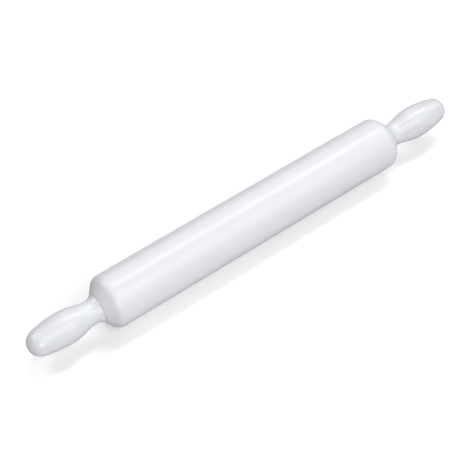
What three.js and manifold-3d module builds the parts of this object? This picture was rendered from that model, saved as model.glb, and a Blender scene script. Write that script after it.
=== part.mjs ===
// A plastic rolling pin for pastry: a turned polyethylene roller that runs on two sealed ball bearings.
// A stainless axle carries the bearings and has a handle screwed on at each end.
// Millimetres, +Z up. The axle lies along X, and the roller rests on Z = 0 under the middle of its length.

import * as THREE from "three";
import { mergeVertices } from "three/addons/utils/BufferGeometryUtils.js";
import Module from "manifold-3d";

const wasm = await Module();
wasm.setup();

// Roller: a straight barrel with a rounded, sloping shoulder at each end
const ROLLER_RADIUS = 30;
const ROLLER_LENGTH = 400;
const SHOULDER_SLOPE_DEG = 50.5;
const SHOULDER_ROUNDING = 11;
const END_WALL = 2.8;
const AXLE_CLEARANCE = 1;
const RELIEF_DEPTH = 1;

// Handle: collar, neck, belly and round tip, each placed from the collar's face.
// A guide is the share of its stretch over which a curve keeps its starting direction.
const HANDLE_GAP = 0.3;
const HANDLE_LENGTH = 84.3;
const COLLAR_RADIUS = 15.6;
const COLLAR_WIDTH = 0.5;
const FLARE_SLOPE_DEG = 32;
const FLARE_GUIDE = 0.235;
const FLARE_NECK_GUIDE = 0.4;
const NECK_RADIUS = 13;
const NECK_AT = 8.2;
const BELLY_RADIUS = 18.2;
const BELLY_AT = 41.8;
const TIP_RADIUS = 14.8;
const TIP_BLEND_DEG = 20;
const NECK_GUIDE = 0.3;
const BELLY_GUIDE = 0.5;
const TAPER_GUIDE = 0.33;
const TIP_GUIDE = 0.2;
const DRILL_GAP = 2;
const DRILL_POINT_DEG = 59;

// Fastening: locking nut behind the bearing and a knurled threaded insert in the handle
const NUT_SIDES = 6;
const NUT_ACROSS_FLATS = 16;
const NUT_THICKNESS = 5;
const NUT_INSET = 0.6;
const NUT_POCKET_GAP = 0.4;
const INSERT_RADIUS = 7;
const INSERT_LENGTH = 20;
const KNURL_TEETH = 20;
const KNURL_DEPTH = 0.5;
const SPACER_WALL = 2;

// Bearing: deep groove, sealed on both sides
const BEARING_BORE = 10;
const BEARING_RECESS = 2.5;
const BALL_DIAMETER = 4.76;
const BALL_COUNT = 7;
const RACE_WALL = 1.5;
const RACE_GAP = 0.12;
const LAND_HALF_GAP = 1.5;
const POCKET_GAP = 0.2;
const CAGE_GAP = 0.5;
const CAGE_BASE = 0.6;
const CAGE_FINGER = 1.2;
const SEAL_THICKNESS = 0.6;
const SEAL_INSET = 0.07;
const SEAL_LIP_GAP = 0.3;

// Axle
const AXLE_STEP = 1.15;
const AXLE_TIP = 3;
const AXLE_CHAMFER = 1;

// Hairline gaps between pieces that are pressed, clamped or screwed together
const PRESS_GAP = 0.15;
const SEAT_GAP = 0.15;
const THREAD_GAP = 0.2;

// Facets: round pieces are prisms whose flats, not corners, lie on the stated radius
const FACETS = 32;
const GROOVE_STEPS = 5;
const ROUNDING_STEPS = 5;
const CURVE_STEPS = 6;
const TIP_STEPS = 6;
const BALL_DETAIL = 1;
const CORNER_FACTOR = 1 / Math.cos(Math.PI / FACETS);

// Bearing sizes that follow from the above, with the bearing's middle at x = 0
const ballRadius = BALL_DIAMETER / 2;
const grooveRadius = ballRadius + RACE_GAP;
const pitchRadius = BEARING_BORE / 2 + RACE_WALL + grooveRadius;
const bearingRadius = pitchRadius + grooveRadius + RACE_WALL;
const innerLand = pitchRadius - LAND_HALF_GAP;
const outerLand = pitchRadius + LAND_HALF_GAP;
const cageBaseX = ballRadius + POCKET_GAP + CAGE_BASE;
const sealInnerX = cageBaseX + SEAT_GAP;
const bearingHalfWidth = sealInnerX + SEAL_THICKNESS + SEAL_INSET;

// Axle and bore sizes
const journalRadius = BEARING_BORE / 2 - PRESS_GAP;
const axleRadius = journalRadius + AXLE_STEP;
const threadBore = journalRadius + THREAD_GAP;
const rollerBore = axleRadius + AXLE_CLEARANCE;
const seatRadius = bearingRadius + PRESS_GAP;
const endFaceRadius = seatRadius + END_WALL;
const nutCorner = NUT_ACROSS_FLATS / 2 / Math.cos(Math.PI / NUT_SIDES);
const pocketRadius = nutCorner + NUT_POCKET_GAP;
const insertBore = INSERT_RADIUS + PRESS_GAP;

// Places along the axle, outward from the middle of the roller
const faceX = ROLLER_LENGTH / 2;
const bearingX = faceX - BEARING_RECESS - bearingHalfWidth;
const bearingBackX = bearingX - bearingHalfWidth - SEAT_GAP;
const bearingFrontX = bearingX + bearingHalfWidth + SEAT_GAP;
const collarX = faceX + HANDLE_GAP;
const nutX = collarX + NUT_INSET;
const pocketX = nutX + NUT_THICKNESS + SEAT_GAP;
const insertEndX = pocketX + INSERT_LENGTH;
const axleTipX = insertEndX + AXLE_TIP;
const drillX = axleTipX + DRILL_GAP;

const radians = THREE.MathUtils.degToRad;

const polyethylene = { color: 0xeceef5, roughness: 0.38, metalness: 0 };
const stainless = { color: 0xb9bcc0, roughness: 0.3, metalness: 1 };
const bearingSteel = { color: 0xc9ccd1, roughness: 0.18, metalness: 1 };
const polyamide = { color: 0xd9d0b4, roughness: 0.55, metalness: 0 };
const nitrile = { color: 0x1f2329, roughness: 0.8, metalness: 0 };
const brass = { color: 0xc7a04a, roughness: 0.35, metalness: 1 };

// Points on a circle about [radius, x], from one angle to another, where angle 0 points away from the axis
function arc(radius, x, size, from, to, steps) {
  return Array.from({ length: steps + 1 }, (_, i) => {
    const angle = from + ((to - from) * i) / steps;
    return [radius + size * Math.cos(angle), x + size * Math.sin(angle)];
  });
}

// Points on a smooth curve that leaves one [radius, x] point and reaches another by two guide points
function curve(start, startGuide, endGuide, end) {
  const corners = [start, startGuide, endGuide, end].map(([radius, x]) => new THREE.Vector2(radius, x));
  const bezier = new THREE.CubicBezierCurve(...corners);
  return bezier.getPoints(CURVE_STEPS).map((point) => [point.x, point.y]);
}

// Turns a profile of [radius, x] points about the X axis
function turned(profile) {
  const points = profile.map(([radius, x]) => new THREE.Vector2(radius * CORNER_FACTOR, x));
  const geometry = new THREE.LatheGeometry(points, FACETS, Math.PI / FACETS);
  return geometry.rotateZ(-Math.PI / 2);
}

// Turns a ring whose section closes on itself
function ring(section) {
  return turned([...section, section[0]]);
}

// A plain ring between two radii and two places along the axle
function sleeve(inner, outer, from, to) {
  return ring([[inner, to], [inner, from], [outer, from], [outer, to]]);
}

// A prism along X with a round hole, from its outline in Y and Z
function bored(outline, hole, length) {
  const shape = new THREE.Shape(outline);
  const bore = new THREE.Path();
  bore.absarc(0, 0, hole * CORNER_FACTOR, 0, Math.PI * 2, true);
  shape.holes.push(bore);
  const options = { depth: length, bevelEnabled: false, curveSegments: FACETS / 2 };
  return new THREE.ExtrudeGeometry(shape, options).rotateY(Math.PI / 2);
}

// A closed mesh as a solid that can be cut
function solid(geometry) {
  geometry.deleteAttribute("normal");
  geometry.deleteAttribute("uv");
  const merged = mergeVertices(geometry);
  const triVerts = new Uint32Array(merged.index.array);
  const vertProperties = merged.attributes.position.array;
  return new wasm.Manifold(new wasm.Mesh({ numProp: 3, vertProperties, triVerts }));
}

// A cut solid as a geometry again
function geometryOf(body) {
  const mesh = body.getMesh();
  const geometry = new THREE.BufferGeometry();
  geometry.setAttribute("position", new THREE.BufferAttribute(mesh.vertProperties, 3));
  geometry.setIndex(new THREE.BufferAttribute(mesh.triVerts, 1));
  return geometry;
}

// Half of the roller's profile, from the edge of the bore's relief to the start of the straight barrel
function rollerEnd() {
  const slope = radians(SHOULDER_SLOPE_DEG);
  const roundingDrop = SHOULDER_ROUNDING * (1 - Math.cos(slope));
  const slopeDrop = ROLLER_RADIUS - endFaceRadius - roundingDrop;
  const slopeLength = slopeDrop / Math.tan(slope);
  const barrelX = faceX - slopeLength - SHOULDER_ROUNDING * Math.sin(slope);
  const centre = ROLLER_RADIUS - SHOULDER_ROUNDING;
  return [
    [rollerBore, bearingBackX - RELIEF_DEPTH],
    [outerLand, bearingBackX - RELIEF_DEPTH],
    [outerLand, bearingBackX],
    [seatRadius, bearingBackX],
    [seatRadius, faceX],
    [endFaceRadius, faceX],
    ...arc(centre, barrelX, SHOULDER_ROUNDING, slope, 0, ROUNDING_STEPS),
  ];
}

function roller() {
  const right = rollerEnd();
  const left = right.map(([radius, x]) => [radius, -x]);
  return ring([...left, ...right.toReversed()]);
}

function axle() {
  const right = [
    [axleRadius, bearingBackX],
    [journalRadius, bearingBackX],
    [journalRadius, axleTipX - AXLE_CHAMFER],
    [journalRadius - AXLE_CHAMFER, axleTipX],
    [0, axleTipX],
  ];
  const left = right.map(([radius, x]) => [radius, -x]).reverse();
  return turned([...left, ...right]);
}

function handle() {
  const tipCentre = collarX + HANDLE_LENGTH - TIP_RADIUS;
  const blend = radians(TIP_BLEND_DEG);
  const tip = arc(0, tipCentre, TIP_RADIUS, blend, Math.PI / 2, TIP_STEPS);
  const neck = [NECK_RADIUS, collarX + NECK_AT];
  const belly = [BELLY_RADIUS, collarX + BELLY_AT];
  const collarEdge = [COLLAR_RADIUS, collarX + COLLAR_WIDTH];
  const flare = NECK_AT - COLLAR_WIDTH;
  const lead = flare * FLARE_GUIDE;
  const rise = BELLY_AT - NECK_AT;
  const [tipStart] = tip;
  const fall = tipStart[1] - belly[1];
  const pull = fall * TIP_GUIDE;
  const flareGuides = [
    [COLLAR_RADIUS - lead * Math.tan(radians(FLARE_SLOPE_DEG)), collarEdge[1] + lead],
    [NECK_RADIUS, neck[1] - flare * FLARE_NECK_GUIDE],
  ];
  const riseGuides = [
    [NECK_RADIUS, neck[1] + rise * NECK_GUIDE],
    [BELLY_RADIUS, belly[1] - rise * BELLY_GUIDE],
  ];
  const taperGuides = [
    [BELLY_RADIUS, belly[1] + fall * TAPER_GUIDE],
    [tipStart[0] + pull * Math.sin(blend), tipStart[1] - pull * Math.cos(blend)],
  ];
  const outside = [
    [COLLAR_RADIUS, collarX],
    ...curve(collarEdge, ...flareGuides, neck),
    ...curve(neck, ...riseGuides, belly).slice(1),
    ...curve(belly, ...taperGuides, tipStart).slice(1),
    ...tip.slice(1, -1),
    [0, collarX + HANDLE_LENGTH],
  ];
  const inside = [
    [0, drillX + threadBore / Math.tan(radians(DRILL_POINT_DEG))],
    [threadBore, drillX],
    [threadBore, insertEndX + SEAT_GAP],
    [insertBore, insertEndX + SEAT_GAP],
    [insertBore, pocketX],
    [pocketRadius, pocketX],
    [pocketRadius, collarX],
  ];
  return turned([...inside, ...outside]);
}

function threadedInsert() {
  const corners = Array.from({ length: KNURL_TEETH * 2 }, (_, i) => {
    const radius = INSERT_RADIUS - (i % 2) * KNURL_DEPTH;
    const angle = (i * Math.PI) / KNURL_TEETH;
    return new THREE.Vector2(radius * Math.cos(angle), radius * Math.sin(angle));
  });
  return bored(corners, threadBore, INSERT_LENGTH).translate(pocketX, 0, 0);
}

function lockNut() {
  const corners = Array.from({ length: NUT_SIDES }, (_, i) => {
    const angle = (i * 2 * Math.PI) / NUT_SIDES;
    return new THREE.Vector2(nutCorner * Math.cos(angle), nutCorner * Math.sin(angle));
  });
  return bored(corners, threadBore, NUT_THICKNESS).translate(nutX, 0, 0);
}

function spacer() {
  const bore = journalRadius + PRESS_GAP;
  return sleeve(bore, bore + SPACER_WALL, bearingFrontX, nutX - SEAT_GAP);
}

// A race's ball groove, seen from the ball: toward the axle on the inner ring, away from it on the outer
function groove(towardAxle) {
  const spread = Math.acos(LAND_HALF_GAP / grooveRadius);
  const middle = towardAxle ? Math.PI : 0;
  return arc(pitchRadius, 0, grooveRadius, middle - spread, middle + spread, GROOVE_STEPS);
}

function innerRing() {
  const bore = BEARING_BORE / 2;
  return ring([
    [bore, bearingHalfWidth],
    [bore, -bearingHalfWidth],
    [innerLand, -bearingHalfWidth],
    ...groove(true).reverse(),
    [innerLand, bearingHalfWidth],
  ]);
}

function outerRing() {
  return ring([
    [bearingRadius, -bearingHalfWidth],
    [bearingRadius, bearingHalfWidth],
    [outerLand, bearingHalfWidth],
    ...groove(false).reverse(),
    [outerLand, -bearingHalfWidth],
  ]);
}

function seal() {
  return sleeve(innerLand + SEAL_LIP_GAP, outerLand - PRESS_GAP, sealInnerX, sealInnerX + SEAL_THICKNESS);
}

// Middle of a ball, counted round the bearing
function ballCentre(i) {
  const angle = (i * 2 * Math.PI) / BALL_COUNT;
  return new THREE.Vector3(0, pitchRadius * Math.sin(angle), pitchRadius * Math.cos(angle));
}

function ball(radius, i) {
  return new THREE.IcosahedronGeometry(radius, BALL_DETAIL).translate(...ballCentre(i));
}

// Crown cage: a thin base ring with fingers that reach between the balls
function cage() {
  const half = LAND_HALF_GAP - CAGE_GAP;
  const blank = sleeve(pitchRadius - half, pitchRadius + half, -cageBaseX, CAGE_FINGER);
  const pockets = Array.from({ length: BALL_COUNT }, (_, i) => solid(ball(ballRadius + POCKET_GAP, i)));
  return geometryOf(pockets.reduce((body, pocket) => body.subtract(pocket), solid(blank)));
}

function piece(name, geometry, look) {
  const mesh = new THREE.Mesh(geometry, new THREE.MeshStandardMaterial(look));
  mesh.name = name;
  return mesh;
}

// One sealed bearing, with its cage's base toward the middle of the roller
function bearing(side) {
  const group = new THREE.Group();
  group.position.x = bearingX;
  group.add(piece(`bearing_outer_ring_${side}`, outerRing(), bearingSteel));
  group.add(piece(`bearing_inner_ring_${side}`, innerRing(), bearingSteel));
  group.add(piece(`bearing_cage_${side}`, cage(), polyamide));
  group.add(piece(`bearing_seal_outer_${side}`, seal(), nitrile));
  group.add(piece(`bearing_seal_inner_${side}`, seal().rotateZ(Math.PI), nitrile));
  for (let i = 0; i < BALL_COUNT; i += 1) {
    group.add(piece(`bearing_ball_${side}_${i + 1}`, ball(ballRadius, i), bearingSteel));
  }
  return group;
}

// Everything at one end of the roller, built at the +X end
function end(side) {
  const group = new THREE.Group();
  group.add(bearing(side));
  group.add(piece(`spacer_${side}`, spacer(), stainless));
  group.add(piece(`lock_nut_${side}`, lockNut(), stainless));
  group.add(piece(`threaded_insert_${side}`, threadedInsert(), brass));
  group.add(piece(`handle_${side}`, handle(), polyethylene));
  return group;
}

function rollingPin() {
  const pin = new THREE.Group();
  pin.position.z = ROLLER_RADIUS;
  pin.add(piece("roller", roller(), polyethylene));
  pin.add(piece("axle", axle(), stainless));
  const left = end("left");
  left.rotation.z = Math.PI;
  pin.add(left, end("right"));
  return pin;
}

export default rollingPin();
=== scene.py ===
"""A white plastic rolling pin: a barrel that turns on two sealed bearings, with a fixed handle at each end.

Laid out as an add-on: each operator makes one kind of piece from the sizes and colours in the sidebar.
All lengths are in metres, X runs along the axle, and the barrel rests on the floor.
"""

import math

import bmesh
import bpy
from bpy.props import FloatProperty, FloatVectorProperty, IntProperty, PointerProperty
from mathutils import Matrix, Vector
from mathutils.geometry import interpolate_bezier


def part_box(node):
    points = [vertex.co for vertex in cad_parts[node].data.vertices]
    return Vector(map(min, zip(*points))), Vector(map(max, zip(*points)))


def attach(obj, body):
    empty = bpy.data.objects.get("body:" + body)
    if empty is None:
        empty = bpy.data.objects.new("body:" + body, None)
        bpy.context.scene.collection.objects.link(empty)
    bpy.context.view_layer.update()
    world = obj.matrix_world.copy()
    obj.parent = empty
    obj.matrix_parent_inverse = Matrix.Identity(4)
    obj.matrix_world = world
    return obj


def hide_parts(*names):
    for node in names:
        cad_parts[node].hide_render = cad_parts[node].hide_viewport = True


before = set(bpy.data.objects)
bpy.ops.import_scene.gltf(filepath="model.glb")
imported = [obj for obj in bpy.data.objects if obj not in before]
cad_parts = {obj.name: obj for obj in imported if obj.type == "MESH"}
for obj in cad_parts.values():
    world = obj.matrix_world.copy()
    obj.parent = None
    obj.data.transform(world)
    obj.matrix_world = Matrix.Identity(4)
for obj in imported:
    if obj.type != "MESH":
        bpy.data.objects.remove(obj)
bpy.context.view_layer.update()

bl_info = {
    "name": "Rolling Pin",
    "version": (1, 0, 0),
    "blender": (4, 5, 0),
    "location": "View3D > Sidebar > Rolling Pin",
    "description": "Makes a plastic rolling pin with its handles, axle and bearings, on a studio stage",
    "category": "Add Mesh",
}

MM = 0.001
PHOTO_PIXELS = 458
SENSOR_WIDTH = 36.0
SIDES = ("left", "right")
ROLLER_LOW, ROLLER_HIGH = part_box("roller")
NUT_LOW, NUT_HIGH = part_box("lock_nut_right")
AXIS_HEIGHT = (ROLLER_LOW.z + ROLLER_HIGH.z) / 2
WHITE = (1.0, 1.0, 1.0, 1.0)

# Roundings of edges
THIN_EDGE = 0.1 * MM
FINE_EDGE = 0.2 * MM
SOFT_EDGE = 0.3 * MM
WIDE_EDGE = 0.5 * MM

# Points along arcs and curves, one thread turn, one knurl diamond and the slants and side of a nut
ARC_STEPS = 8
GROOVE_STEPS = 20
FLARE_STEPS = 20
SWELL_STEPS = 36
TAPER_STEPS = 30
TIP_STEPS = 24
THREAD_STEPS = 10
KNURL_STEPS = 8
SLANT_STEPS = 8
SIDE_STEPS = 4
SHARP_EDGE = math.radians(32)
MERGE_DISTANCE = 0.0005 * MM
THREAD_MARGIN = 0.01 * MM
KNURL_MARGIN = 0.1 * MM


def extent(box):
    """Where a piece starts and ends along the axle, and its radius."""
    low, high = box
    return low.x, high.x, high.z - AXIS_HEIGHT


# Places and sizes that the frame gives, for the end at +X
HANDLE_START, HANDLE_END, HANDLE_RADIUS = extent(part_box("handle_right"))
_, AXLE_END, AXLE_RADIUS = extent(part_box("axle"))
OUTER_START, OUTER_END, OUTER_RADIUS = extent(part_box("bearing_outer_ring_right"))
_, _, INNER_RADIUS = extent(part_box("bearing_inner_ring_right"))
CAGE_START, CAGE_END, CAGE_RADIUS = extent(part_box("bearing_cage_right"))
SEAL_START, SEAL_END, SEAL_RADIUS = extent(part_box("bearing_seal_outer_right"))
SPACER_START, SPACER_END, SPACER_RADIUS = extent(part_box("spacer_right"))
NUT_START, NUT_END, NUT_RADIUS = extent((NUT_LOW, NUT_HIGH))
INSERT_START, INSERT_END, INSERT_RADIUS = extent(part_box("threaded_insert_right"))
BEARING_MIDDLE = (OUTER_START + OUTER_END) / 2


def setting(kind, **limits):
    """A maker of one kind of property, from its name, its description and its default."""

    def make(name, description, default):
        return kind(name=name, description=description, default=default, **limits)

    return make


length = setting(FloatProperty, unit="LENGTH", precision=5)
angle = setting(FloatProperty, subtype="ANGLE")
share = setting(FloatProperty, min=0, max=1, subtype="FACTOR")
colour = setting(FloatVectorProperty, min=0, max=1, subtype="COLOR")
power = setting(FloatProperty, min=0, unit="POWER")
focal_length = setting(FloatProperty, unit="CAMERA")
pixels = setting(FloatProperty, subtype="PIXEL")
count = setting(IntProperty, min=3)


class RollerSizes(bpy.types.PropertyGroup):
    """Sizes of the barrel that does the rolling"""

    radius: length("Radius", "Radius of the straight barrel", ROLLER_HIGH.z - AXIS_HEIGHT)
    half_length: length("Half length", "From the middle of the barrel to its end face", ROLLER_HIGH.x)
    shoulder_slope: angle("Shoulder slope", "Slope of the shoulder from the barrel", math.radians(50.5))
    shoulder_rounding: length("Shoulder rounding", "Rounding between barrel and shoulder", 11 * MM)
    end_wall: length("End wall", "Width of the flat ring around the bearing seat", 2.8 * MM)
    rim_rounding: length("Rim rounding", "Rounding of the outer edge of the end face", 1.1 * MM)
    seat_gap: length("Seat gap", "Space around the bearing in its seat", 0.15 * MM)
    relief_depth: length("Relief depth", "Depth of the step behind the bearing", 1 * MM)
    bore: length("Bore", "Radius of the bore that the axle runs through", 7 * MM)
    segments: count("Segments", "Faces around the barrel", 192)


class HandleSizes(bpy.types.PropertyGroup):
    """Sizes of the two handles, measured from the collar's face"""

    collar_radius: length("Collar radius", "Radius of the foot that stands against the barrel", 15.6 * MM)
    collar_width: length("Collar width", "Width of the foot's narrow rim", 0.5 * MM)
    collar_rounding: length("Collar rounding", "Rounding of the rim's edges", 0.2 * MM)
    flare_slope: angle("Flare slope", "Slope at which the foot runs towards the neck", math.radians(32))
    flare_guide: share("Flare guide", "How long the flare keeps its first slope", 0.235)
    flare_neck_guide: share("Flare neck guide", "How early the flare levels out at the neck", 0.4)
    neck_radius: length("Neck radius", "Radius of the narrowest place", 13 * MM)
    neck_place: length("Neck place", "From the collar to the narrowest place", 8.2 * MM)
    belly_radius: length("Belly radius", "Radius of the widest place", HANDLE_RADIUS)
    belly_place: length("Belly place", "From the collar to the widest place", 41.8 * MM)
    tip_radius: length("Tip radius", "Radius of the round tip", 14.8 * MM)
    tip_blend: angle("Tip blend", "Slope at which the taper runs into the tip", math.radians(20))
    neck_guide: share("Neck guide", "How long the curve stays narrow after the neck", 0.3)
    belly_guide: share("Belly guide", "How early the curve reaches the belly's width", 0.5)
    taper_guide: share("Taper guide", "How long the curve stays wide after the belly", 0.33)
    tip_guide: share("Tip guide", "How early the taper takes the tip's slope", 0.2)
    pocket_gap: length("Pocket gap", "Space around the nut's corners in its pocket", 0.4 * MM)
    hole_gap: length("Hole gap", "Space around the insert in its hole", 0.15 * MM)
    drill_gap: length("Drill gap", "From the axle's tip to the bottom of the hole", 2 * MM)
    drill_point: angle("Drill point", "Half angle of the hole's pointed bottom", math.radians(59))
    segments: count("Segments", "Faces around the handle", 144)


class AxleSizes(bpy.types.PropertyGroup):
    """Sizes of the axle, its thread and what is screwed or slipped on it"""

    rod_radius: length("Rod radius", "Radius of the thick middle stretch", AXLE_RADIUS)
    journal_radius: length("Journal radius", "Radius of the ends that carry bearings and thread", 4.85 * MM)
    shoulder_place: length("Shoulder place", "From the middle to the step beside the bearing", 189.35 * MM)
    thread_start: length("Thread start", "From the middle to where the thread begins", 199.5 * MM)
    tip_chamfer: length("Tip chamfer", "Size of the slanted edge at each tip", 1 * MM)
    thread_pitch: length("Thread pitch", "Distance between turns of the thread", 1.5 * MM)
    thread_depth: length("Thread depth", "Depth of the thread", 0.8 * MM)
    thread_gap: length("Thread gap", "Space between the axle's thread and a threaded bore", 0.2 * MM)
    bore_sink: length("Bore sink", "Size of the slanted edge around a threaded bore", 0.5 * MM)
    spacer_bore: length("Spacer bore", "Radius of the hole through a spacer", 5 * MM)
    nut_flats: length("Nut flats", "Distance across the flats of a lock nut", NUT_HIGH.y - NUT_LOW.y)
    nut_chamfer: length("Nut chamfer", "How far a nut's corners are cut back at each face", 0.9 * MM)
    nut_face_step: length("Nut face step", "From a nut's flats in to the edge of its round faces", 0.3 * MM)
    knurl_depth: length("Knurl depth", "Depth of the knurl on an insert", 0.45 * MM)
    knurl_lead: length("Knurl lead", "Length of one diamond of the knurl", 2.2 * MM)
    knurl_teeth: count("Knurl teeth", "Diamonds around an insert", 20)
    knurl_bands: count("Knurl bands", "Knurled bands along an insert", 3)
    groove_width: length("Groove width", "Width of the plain grooves between knurled bands", 1.6 * MM)
    groove_depth: length("Groove depth", "Depth of the plain grooves between knurled bands", 0.8 * MM)
    groove_slant: length("Groove slant", "Width of the slanted sides of a groove", 0.4 * MM)
    segments: count("Segments", "Faces around the axle and spacers", 72)
    nut_segments: count("Nut segments", "Faces around a nut before its flats are cut", 144)


class BearingSizes(bpy.types.PropertyGroup):
    """Sizes of the two sealed ball bearings"""

    bore: length("Bore", "Radius of the inner ring's hole", 5 * MM)
    pitch_radius: length("Pitch radius", "From the axle to the middle of a ball", 9 * MM)
    ball_radius: length("Ball radius", "Radius of a ball", 2.38 * MM)
    groove_radius: length("Groove radius", "Radius of the grooves that the balls run in", 2.5 * MM)
    ring_rounding: length("Ring rounding", "Rounding of the rings' outer edges", 0.35 * MM)
    pocket_gap: length("Pocket gap", "Space around a ball in the cage", 0.2 * MM)
    lip_gap: length("Lip gap", "Space between a seal's lip and the inner ring", 0.3 * MM)
    lip_width: length("Lip width", "Width of the seal's thin inner lip", 0.7 * MM)
    lip_thickness: length("Lip thickness", "Thickness of the seal's thin inner lip", 0.3 * MM)
    bead_depth: length("Bead depth", "Depth of the groove around a seal's face", 0.2 * MM)
    balls: count("Balls", "Balls in one bearing", 7)
    segments: count("Segments", "Faces around the rings", 120)


class FinishColours(bpy.types.PropertyGroup):
    """Colours of the plastics, metals and rubber, and the gloss of the plastics"""

    roller_plastic: colour("Roller plastic", "Polyethylene of the barrel", (0.757, 0.765, 0.811))
    handle_plastic: colour("Handle plastic", "Polyethylene of the handles", (0.724, 0.737, 0.779))
    plastic_shade: colour("Plastic shade", "Tone of its faint clouds and scuffs", (0.675, 0.684, 0.716))
    axle_steel: colour("Axle steel", "Stainless steel of the axle, spacers and nuts", (0.56, 0.565, 0.575))
    race_steel: colour("Race steel", "Ground steel of the bearing rings", (0.62, 0.625, 0.64))
    ball_steel: colour("Ball steel", "Polished steel of the balls", (0.70, 0.705, 0.715))
    cage_plastic: colour("Cage plastic", "Polyamide of the bearing cages", (0.62, 0.53, 0.35))
    seal_rubber: colour("Seal rubber", "Nitrile rubber of the seals", (0.018, 0.020, 0.024))
    insert_brass: colour("Insert brass", "Brass of the threaded inserts", (0.66, 0.44, 0.16))
    floor: colour("Floor", "The plain studio floor", (0.94, 0.94, 0.94))
    roller_roughness: share("Roller roughness", "How dull the smoothest places of the barrel are", 0.25)
    roller_unevenness: share("Roller unevenness", "How far the barrel's gloss and relief vary", 1.0)
    handle_roughness: share("Handle roughness", "How dull the smoothest places of the handles are", 0.215)
    handle_unevenness: share("Handle unevenness", "How far the handles' gloss and relief vary", 0.3)


class StageSettings(bpy.types.PropertyGroup):
    """Camera and lights that follow the photograph"""

    view_turn: angle("View turn", "Angle of the camera about the vertical", math.radians(-38.08))
    view_height: angle("View height", "Angle of the camera above the floor", math.radians(48.74))
    view_distance: length("View distance", "From the camera to the middle of the barrel", 1.6123)
    view_lens: focal_length("View lens", "Focal length of the camera", 117.02)
    picture_x: pixels("Picture X", "Pixel column of the middle of the barrel", 249.45)
    picture_y: pixels("Picture Y", "Pixel row of the middle of the barrel", 218.75)
    floor_reach: length("Floor reach", "From the middle of the floor to its edges", 6)
    floor_bounce: share("Floor bounce", "Share of light that the floor throws back onto the pin", 0.42)
    floor_lift: share("Floor lift", "How far the floor is lifted towards white where it is seen", 0.18)
    glow_start: length("Glow start", "How far from the pin the floor begins to turn quite white", 0.7)
    glow_end: length("Glow end", "How far from the pin the floor has turned quite white", 2.5)
    front_left_power: power("Front left power", "Low panel in front of the near handle", 58.5)
    front_power: power("Front power", "Wide panel in front, to the right of the camera", 508)
    strip_power: power("Strip power", "Long panel above, which draws the bright line", 289)
    right_power: power("Right power", "Panel beyond the far handle", 159)
    back_right_power: power("Back right power", "Tall panel behind the far handle", 192)
    back_left_power: power("Back left power", "Panel behind the near handle", 330)


class RollingPinSettings(bpy.types.PropertyGroup):
    """All sizes and colours of the rolling pin"""

    roller: PointerProperty(type=RollerSizes)
    handle: PointerProperty(type=HandleSizes)
    axle: PointerProperty(type=AxleSizes)
    bearing: PointerProperty(type=BearingSizes)
    finish: PointerProperty(type=FinishColours)
    stage: PointerProperty(type=StageSettings)


class NodeTree:
    """Adds nodes to a tree and joins them, so that a tree reads like a formula."""

    def __init__(self, data):
        self.data = data

    def add(self, kind, values=None, **options):
        """A new node, with its sockets named or numbered in values."""
        node = self.data.nodes.new(kind)
        node.location.x = 180 * len(self.data.nodes)
        for option, value in options.items():
            setattr(node, option, value)
        for socket, value in (values or {}).items():
            self.join(value, node.inputs[socket])
        return node

    def join(self, value, socket):
        if isinstance(value, bpy.types.NodeSocket):
            self.data.links.new(value, socket)
        else:
            socket.default_value = value

    def put(self, kind, values=None, **options):
        """The first output of a new node."""
        return self.add(kind, values, **options).outputs[0]

    def math(self, operation, *values):
        return self.put("ShaderNodeMath", dict(enumerate(values)), operation=operation)

    def plus(self, first, *others):
        for other in others:
            first = self.math("ADD", first, other)
        return first

    def minus(self, first, second):
        return self.math("SUBTRACT", first, second)

    def times(self, first, *others):
        for other in others:
            first = self.math("MULTIPLY", first, other)
        return first

    def over(self, first, second):
        return self.math("DIVIDE", first, second)

    def weighted(self, *pairs):
        """The sum of values, each times its weight."""
        return self.plus(*[self.times(value, weight) for value, weight in pairs])

    def distance(self, across, rise):
        return self.math("SQRT", self.weighted((across, across), (rise, rise)))

    def ramp(self, value, low, high, at_low=0.0, at_high=1.0, way="SMOOTHSTEP"):
        """Goes from one number to another while value goes from low to high."""
        values = {0: value, 1: low, 2: high, 3: at_low, 4: at_high}
        return self.put("ShaderNodeMapRange", values, interpolation_type=way)

    def split(self, vector):
        return self.add("ShaderNodeSeparateXYZ", {0: vector}).outputs

    def vector(self, x, y, z):
        return self.put("ShaderNodeCombineXYZ", {0: x, 1: y, 2: z})

    def mixed(self, amount, first, second):
        return self.add("ShaderNodeMix", {0: amount, 6: first, 7: second}, data_type="RGBA").outputs[2]

    def place(self):
        """Object coordinates, for a material."""
        return self.add("ShaderNodeTexCoord").outputs["Object"]

    def seen(self):
        """1 where the camera looks and 0 where light is thrown on."""
        return self.add("ShaderNodeLightPath").outputs["Is Camera Ray"]

    def noise(self, vector, scale, detail=2.0, roughness=0.5):
        values = {"Vector": vector, "Scale": scale, "Detail": detail, "Roughness": roughness}
        return self.put("ShaderNodeTexNoise", values)


NUMBER_SOCKETS = {int: "NodeSocketInt", float: "NodeSocketFloat"}


class GroupTree(NodeTree):
    """A node group with named inputs and one output. Each input is given by its default number or, where it
    isn't a number, by its kind."""

    def __init__(self, name, kind, inputs, output, output_kind):
        super().__init__(bpy.data.node_groups.new(name, kind))
        sockets = self.data.interface
        for label, given in inputs.items():
            socket_kind = NUMBER_SOCKETS.get(type(given), given)
            socket = sockets.new_socket(name=label, in_out="INPUT", socket_type=socket_kind)
            if socket_kind != given:
                socket.default_value = given
        sockets.new_socket(name=output, in_out="OUTPUT", socket_type=output_kind)
        self.start = self.add("NodeGroupInput").outputs
        self.end = self.add("NodeGroupOutput").inputs

    def __getitem__(self, label):
        return self.start[label]

    def close(self, value):
        """Leads a value to the output and gives the finished group."""
        self.join(value, self.end[0])
        return self.data


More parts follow.
